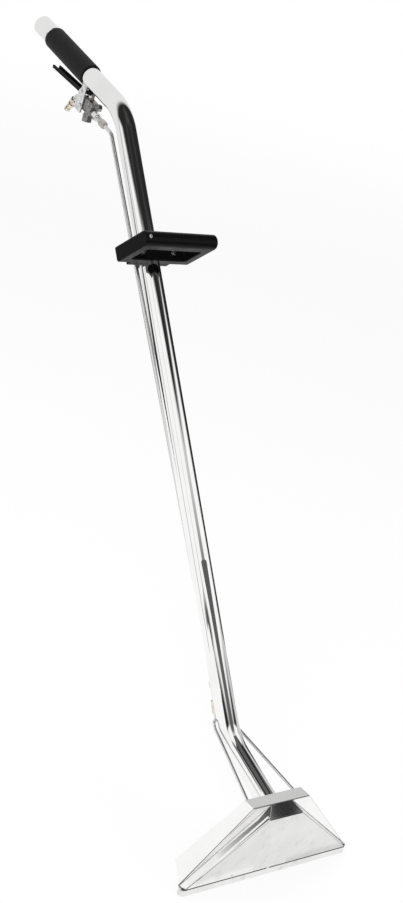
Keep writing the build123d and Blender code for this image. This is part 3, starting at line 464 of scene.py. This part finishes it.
def rings_along(solid, rows, sides):
    """Rings of vertices square to a path: its rows are point, heading and radius."""
    side = Vector((1, 0, 0))
    side = (side - rows[0][1] * side.dot(rows[0][1])).normalized()
    rings = []
    before = rows[0][1]
    for point, way, radius in rows:
        side = before.rotation_difference(way) @ side
        over = way.cross(side)
        rings.append([
            solid.verts.new((point + (side * cos(turn) + over * sin(turn)) * radius) * MM)
            for turn in (2 * pi * step / sides for step in range(sides))])
        before = way
    return rings


def skin_rings(solid, rings):
    """Faces between each ring and the next."""
    for ring, onward in zip(rings, rings[1:]):
        for here in range(len(ring)):
            after = (here + 1) % len(ring)
            solid.faces.new((ring[here], ring[after], onward[after], onward[here]))


def make_bent_tube():
    """The wand's tube, its bends fine enough for a mirror finish to run smoothly."""
    path = bent_path([ENTRY, LOWER_CORNER, UPPER_CORNER, HOSE_END], [LOWER_BEND_R, UPPER_BEND_R])
    end, way = path.pop()
    near, far = CUFF_GROOVE
    cuff = [(far, 0), (far, CUFF_GROOVE_DEPTH), (near, CUFF_GROOVE_DEPTH), (near, 0),
            (CUFF_CHAMFER, 0), (0, CUFF_CHAMFER)]
    outer = [row + (TUBE_R,) for row in path] + [
        (end - way * back, way, TUBE_R - cut) for back, cut in cuff]
    inner = [row + (BORE_R,) for row in path + [(end, way)]]
    solid = bmesh.new()
    outside = rings_along(solid, outer, TUBE_SIDES)
    inside = rings_along(solid, inner, TUBE_SIDES)
    for vert in outside[0] + inside[0]:
        vert.co += path[0][1] * ((PANEL_BACK * MM - vert.co.y) / path[0][1].y)
    skin_rings(solid, outside + inside[::-1] + outside[:1])
    bmesh.ops.recalc_face_normals(solid, faces=solid.faces)
    tube = piece_from("bent_tube", solid, "wand", "polished_tube")
    tube.data.set_sharp_from_angle(angle=radians(30))
    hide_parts("wand_tube")


def make_pipe(name, node, points, radii, radius):
    """A bent pipe whose ends are hidden in its fittings."""
    solid = bmesh.new()
    rings = rings_along(
        solid, [row + (radius,) for row in bent_path(points, radii)], PIPE_SIDES)
    skin_rings(solid, rings)
    solid.faces.new(rings[0])
    solid.faces.new(rings[-1])
    bmesh.ops.recalc_face_normals(solid, faces=solid.faces)
    pipe = piece_from(name, solid, "wand", "pipe_steel")
    pipe.data.set_sharp_from_angle(angle=radians(40))
    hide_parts(node)


def make_solution_pipes():
    """The line under the wand and the two feed pipes to the jets."""
    make_pipe("bent_solution_line", "solution_line", [
        on_upper(38.667, VALVE_DROP), on_upper(8.0, VALVE_DROP), on_mid(160.0, -19.7),
        on_mid(68.35, LINE_DROP), on_mid(50.0, LINE_DROP)], [20.0, 400.0, 63.5], LINE_R)
    for side, name in ((-1, "left_feed_pipe"), (1, "right_feed_pipe")):
        make_pipe("bent_" + name, name, [
            on_mid(44.0, LINE_DROP, side * 3.1), on_mid(31.5, LINE_DROP, side * 3.1),
            on_mid(31.5, -8.4, side * 18.6), on_mid(21.0, -8.4, side * 18.6),
            Vector((side * JET_X, JET_Y, 109.2)),
            Vector((side * JET_X, JET_Y, 89.5))], [FEED_BEND_R] * 4, FEED_R)


def piece_from(name, solid, body, slot):
    """A finished object of a bmesh: it rides on its body and wears its slot's finish."""
    mesh = bpy.data.meshes.new(name)
    solid.to_mesh(mesh)
    solid.free()
    for face in mesh.polygons:
        face.use_smooth = True
    mesh.materials.append(FINISHES[slot])
    piece = bpy.data.objects.new(name, mesh)
    bpy.context.collection.objects.link(piece)
    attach(piece, body)
    return piece


def make_working_spring():
    """The valve's coil, merged into one piece that rides on the wand; it keeps its length as the
    stem comes down.
    """
    coil = bpy.data.objects["return_spring"]
    solid = bmesh.new()
    solid.from_mesh(coil.data)
    bmesh.ops.transform(solid, matrix=coil.matrix_world, verts=solid.verts)
    bmesh.ops.remove_doubles(solid, verts=solid.verts, dist=1e-6)
    spring = piece_from("working_spring", solid, "wand", "spring_steel")
    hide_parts("return_spring")
    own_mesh(spring)


# ------------------------------------------------------------------ welds and threads
def new_tree(name, sizes):
    """A Geometry Nodes tree with a geometry in and out and named sizes."""
    tree = bpy.data.node_groups.new(name, "GeometryNodeTree")
    tree.interface.new_socket("Geometry", in_out="INPUT", socket_type="NodeSocketGeometry")
    for size, worth in sizes.items():
        socket = tree.interface.new_socket(size, in_out="INPUT", socket_type="NodeSocketFloat")
        socket.default_value = worth
    tree.interface.new_socket("Geometry", in_out="OUTPUT", socket_type="NodeSocketGeometry")
    kit = Paint(tree)
    given = tree.nodes.new("NodeGroupInput")
    return tree, kit, {out.name: Value(kit, out) for out in given.outputs if out.name}


def weld_tree():
    """Overlapping beads along every polyline, each a little different in size."""
    tree, kit, given = new_tree("weld_run", {"Bead": 0.001, "Pitch": 0.001})
    run = kit.add("GeometryNodeMeshToCurve", {}, {"Mesh": given["Geometry"]})
    steps = kit.add("GeometryNodeResampleCurve", {"mode": "LENGTH"},
                    {"Curve": run, "Length": given["Pitch"]})
    bead = kit.add("GeometryNodeMeshIcoSphere", {}, {"Radius": given["Bead"], "Subdivisions": 2})
    along = kit.add("FunctionNodeAlignRotationToVector", {"axis": "X"},
                    {"Vector": kit.add("GeometryNodeInputTangent", {}, {})})
    scale = kit.add("FunctionNodeRandomValue", {"data_type": "FLOAT_VECTOR"},
                    {"Min": (0.7, 0.85, 0.85), "Max": (0.9, 1.12, 1.12), "Seed": 11})
    beads = kit.add("GeometryNodeInstanceOnPoints", {},
                    {"Points": steps, "Instance": bead, "Rotation": along, "Scale": scale})
    return tree, kit, beads


def thread_tree():
    """A helical ridge up the Z axis."""
    tree, kit, given = new_tree("thread_ridge", {"Radius": 0.004, "Length": 0.01, "Pitch": 0.001})
    coil = kit.add("GeometryNodeCurveSpiral", {}, {
        "Resolution": 48, "Rotations": given["Length"] / given["Pitch"],
        "Start Radius": given["Radius"], "End Radius": given["Radius"],
        "Height": given["Length"]})
    section = kit.add("GeometryNodeCurvePrimitiveCircle", {"mode": "RADIUS"},
                      {"Resolution": 4, "Radius": given["Pitch"] * 0.42}, output="Curve")
    ridge = kit.add("GeometryNodeCurveToMesh", {},
                    {"Curve": coil, "Profile Curve": section, "Fill Caps": True})
    return tree, kit, ridge


def close_tree(kit, shape, material):
    """The end of a tree: instances made real and dressed."""
    loose = kit.add("GeometryNodeRealizeInstances", {}, {"Geometry": shape})
    dressed = kit.add("GeometryNodeSetMaterial", {}, {"Geometry": loose, "Material": material})
    kit.add("NodeGroupOutput", {}, {"Geometry": dressed})


def grown(name, seed_mesh, tree, sizes):
    """The plain mesh that a tree grows from a seed mesh with the given sizes."""
    holder = bpy.data.objects.new(name, seed_mesh)
    bpy.context.collection.objects.link(holder)
    growth = holder.modifiers.new(name, "NODES")
    growth.node_group = tree
    for item in tree.interface.items_tree:
        if item.in_out == "INPUT" and item.name in sizes:
            growth[item.identifier] = sizes[item.name]
    ready = holder.evaluated_get(bpy.context.evaluated_depsgraph_get())
    mesh = bpy.data.meshes.new_from_object(ready)
    holder.modifiers.remove(growth)
    bpy.data.objects.remove(holder)
    return mesh


def polyline_mesh(name, runs):
    """Runs of points in millimetres as one mesh of edges."""
    points = [point for run in runs for point in run]
    edges = []
    start = 0
    for run in runs:
        edges += [(start + step, start + step + 1) for step in range(len(run) - 1)]
        start += len(run)
    mesh = bpy.data.meshes.new(name)
    mesh.from_pydata([Vector(point) * MM for point in points], edges, [])
    return mesh


def make_welds(name, runs, bead, slot):
    """Weld runs along polylines, one mesh."""
    tree, kit, beads = weld_tree()
    close_tree(kit, beads, FINISHES[slot])
    sizes = {"Bead": bead * MM, "Pitch": bead * 0.9 * MM}
    mesh = grown(name, polyline_mesh(name + "_runs", runs), tree, sizes)
    solid = bmesh.new()
    solid.from_mesh(mesh)
    piece_from(name, solid, "wand", slot)


def make_threads(name, body, slot, screws):
    """Thread ridges on round necks: start point, direction, radius, length and pitch."""
    solid = bmesh.new()
    tree, kit, ridge = thread_tree()
    close_tree(kit, ridge, FINISHES[slot])
    for start, way, radius, length, pitch in screws:
        sizes = {"Radius": radius * MM, "Length": length * MM, "Pitch": pitch * MM}
        mesh = grown(name, bpy.data.meshes.new(name + "_seed"), tree, sizes)
        turn = Vector(way).to_track_quat("Z", "X").to_matrix().to_4x4()
        mesh.transform(Matrix.Translation(Vector(start) * MM) @ turn)
        solid.from_mesh(mesh)
    piece_from(name, solid, body, slot)


def entry_weld():
    """Round the tube where it leaves the back of the hood panel."""
    return [(16.5 * cos(turn), PANEL_BACK + 0.5, ENTRY.z + 17.4 * sin(turn))
            for turn in (2 * pi * step / 72 for step in range(73))]


def saddle_welds():
    """Along both cheeks of the valve bracket where they meet the tube."""
    return [[on_upper(98.4 + step, -12.2, side * 10.5) for step in (0, 3, 6, 9, 10.6)]
            for side in (-1, 1)]


def duct_welds():
    """Down both rear edges of the shoe, against the hood panel."""
    return [[Vector((side * 150.0, PANEL_Y - 0.1, LIP_TOP + 0.6)),
             Vector((side * 20.0, PANEL_Y - 0.1, HEAD_TOP - 1.0))] for side in (-1, 1)]


def ridge_welds():
    """Down both upper folds of the shoe, from the neck to the crest."""
    return [[Vector((side * 20.2, 6.4, 115.6)), Vector((side * 30.4, -6.4, 104.2))]
            for side in (-1, 1)]


# ------------------------------------------------------------------ stage
def glossy_only(thing):
    """Only polished metal sees this piece of the stage, and it lights nothing."""
    for ray in ("camera", "diffuse", "transmission", "shadow"):
        setattr(thing, "visible_" + ray, False)


def shining(paint, level):
    """An emission of one level or mask as the whole surface."""
    shine = paint.add("ShaderNodeEmission", {}, {"Color": grey(1.0), "Strength": level})
    paint.add("ShaderNodeOutputMaterial", {}, {"Surface": shine})


def make_floor():
    """White paper that takes a faint shadow near the wand and none far off."""
    bpy.ops.mesh.primitive_plane_add(size=60)
    floor = bpy.context.object
    floor.name = "floor"
    material, paint = bare_material("floor_paper")
    matt = paint.add("ShaderNodeBsdfDiffuse", {}, {"Color": grey(0.9)})
    white = paint.add("ShaderNodeEmission", {}, {"Color": grey(1.0), "Strength": 1.0})
    apart = paint.add("ShaderNodeVectorMath", {"operation": "LENGTH"},
                      [paint.place()], output="Value")
    share = paint.seen() * apart.step(2.0, 8.0, 0.86, 1.0)
    both = paint.add("ShaderNodeMixShader", {}, [share, matt, white])
    paint.add("ShaderNodeOutputMaterial", {}, {"Surface": both})
    floor.data.materials.append(material)


def make_studio_shell():
    """A round studio for the polish to mirror: a pale wall, a lit bank and dark between.

    Bearings and rises are in degrees from the shell's centre: ahead counts from +Y towards
    +X, and behind from -Y towards -X.
    """
    mesh = bpy.data.meshes.new("studio_shell")
    ball = bmesh.new()
    bmesh.ops.create_uvsphere(ball, u_segments=48, v_segments=24, radius=SHELL_RADIUS)
    ball.transform(Matrix.Translation(SHELL_CENTRE))
    ball.to_mesh(mesh)
    ball.free()
    shell = bpy.data.objects.new("studio_shell", mesh)
    bpy.context.collection.objects.link(shell)
    glossy_only(shell)
    material, paint = bare_material("studio_walls")
    unit, ahead, behind, rise = paint.compass(SHELL_CENTRE)
    facing = paint.add("ShaderNodeVectorMath", {"operation": "DOT_PRODUCT"},
                       [unit, tuple(heading(25))], output="Value")
    # The wall is a pale dome ahead, 50 degrees wide to each side.
    wall = facing.math("ARCCOSINE", facing).step(radians(42), radians(50), 0.83, 0)
    # The bank of light goes from its foot to its top, with a fold and a gap in it.
    top = behind.step(-10, 25, 46, 57) - (behind - 52).larger(0) * 0.36
    foot = behind.size().step(35, 70, 15, 5)
    fold = ((ahead + 75 - rise * 0.68).size().step(2, 7, 0.5, 0)
            * rise.step(18, 30, 1, 0)) * -1 + 1
    gap = (ahead + 129.5 - rise * 0.55).size().step(3, 7, 1, 0) * rise.step(10, 20, 0.78, 0.2)
    bank = (behind.step(-84, -66) * behind.step(124, 134, 1, 0) * (rise - top).step(-5, 5, 1, 0)
            * (rise - foot).step(-4, 4).larger(behind.step(50, 58)) * fold * (1 - gap))
    # Someone stands before the bank, and the dark part has a faint glow.
    person = behind.step(-22, -12) * behind.step(14, 26, 1, 0) * rise.step(28, 46, 0.9, 0.35)
    glow = ((behind + 50).size().step(8, 26, 0.020, 0)
            + (behind - 64).size().step(5, 16, 0.020, 0) + rise.step(74, 82, 0, 0.030))
    shining(paint, wall.larger(bank * (1 - person)) * SHELL_LIT + SHELL_UNLIT + glow)
    mesh.materials.append(material)


def make_card(name, place, ahead, rise, width, height, level, rim):
    """A bounce card or flag by the head. Its level fades to the rim's, if that is given."""
    bpy.ops.mesh.primitive_plane_add(size=1)
    card = bpy.context.object
    card.name = name
    away = Vector((sin(radians(ahead)), cos(radians(ahead)), tan(radians(rise))))
    turn = away.to_track_quat("Z", "Y").to_matrix().to_4x4()
    shape = Matrix.Diagonal((width, height, 1, 1))
    card.data.transform(Matrix.Translation(place) @ turn @ shape)
    glossy_only(card)
    material, paint = bare_material(name)
    if rim is not None:
        apart = paint.add("ShaderNodeVectorMath", {"operation": "DISTANCE"},
                          [paint.place(), place], output="Value")
        level = apart.step(width * 0.25, width * 0.5, level, rim)
    shining(paint, level)
    card.data.materials.append(material)


def make_world():
    """White where it is seen, and half as strong as a light."""
    world = bpy.data.worlds.new("studio")
    world.use_nodes = True
    bpy.context.scene.world = world
    paint = Paint(world.node_tree)
    strength = paint.seen() * 0.5 + 0.5
    backdrop = paint.add("ShaderNodeBackground", {}, {"Color": grey(1.0), "Strength": strength})
    paint.add("ShaderNodeOutputWorld", {}, {"Surface": backdrop})


def make_lamp(name, place, target, width, power):
    """A soft round lamp that the polish doesn't mirror."""
    lamp = bpy.data.lights.new(name, "AREA")
    lamp.shape = "DISK"
    lamp.size = width
    lamp.energy = power
    holder = bpy.data.objects.new(name, lamp)
    holder.location = place
    holder.rotation_euler = (Vector(target) - Vector(place)).to_track_quat("-Z", "Y").to_euler()
    holder.visible_glossy = False
    bpy.context.collection.objects.link(holder)


def make_camera():
    camera = bpy.data.cameras.new("view")
    camera.sensor_width = CAMERA_SENSOR
    camera.lens = CAMERA_LENS
    holder = bpy.data.objects.new("view", camera)
    ahead = CAMERA_AHEAD.normalized()
    right = CAMERA_RIGHT.normalized()
    up = right.cross(ahead).normalized()
    right = ahead.cross(up)
    turn = Matrix((right, up, -ahead)).transposed().to_4x4()
    holder.matrix_world = Matrix.Translation(CAMERA_PLACE) @ turn
    bpy.context.collection.objects.link(holder)
    bpy.context.scene.camera = holder


dress_nodes()
make_bent_tube()
make_solution_pipes()
make_working_spring()
make_welds("entry_and_saddle_welds", [entry_weld()] + saddle_welds(), 1.3, "pipe_steel")
make_welds("duct_seam_welds", duct_welds(), 0.55, "bracket_steel")
make_welds("ridge_welds", ridge_welds(), 0.8, "spring_steel")
make_threads("union_thread", "wand", "union_nickel", [
    (on_upper(54.6, VALVE_DROP), -heading(UPPER_ANGLE), 4.25, 11.2, 1.0)])
make_floor()
make_studio_shell()
for card in CARDS:
    make_card(*card)
make_world()
for lamp in LAMPS:
    make_lamp(*lamp)
make_camera()
bpy.context.scene.view_settings.view_transform = "Standard"
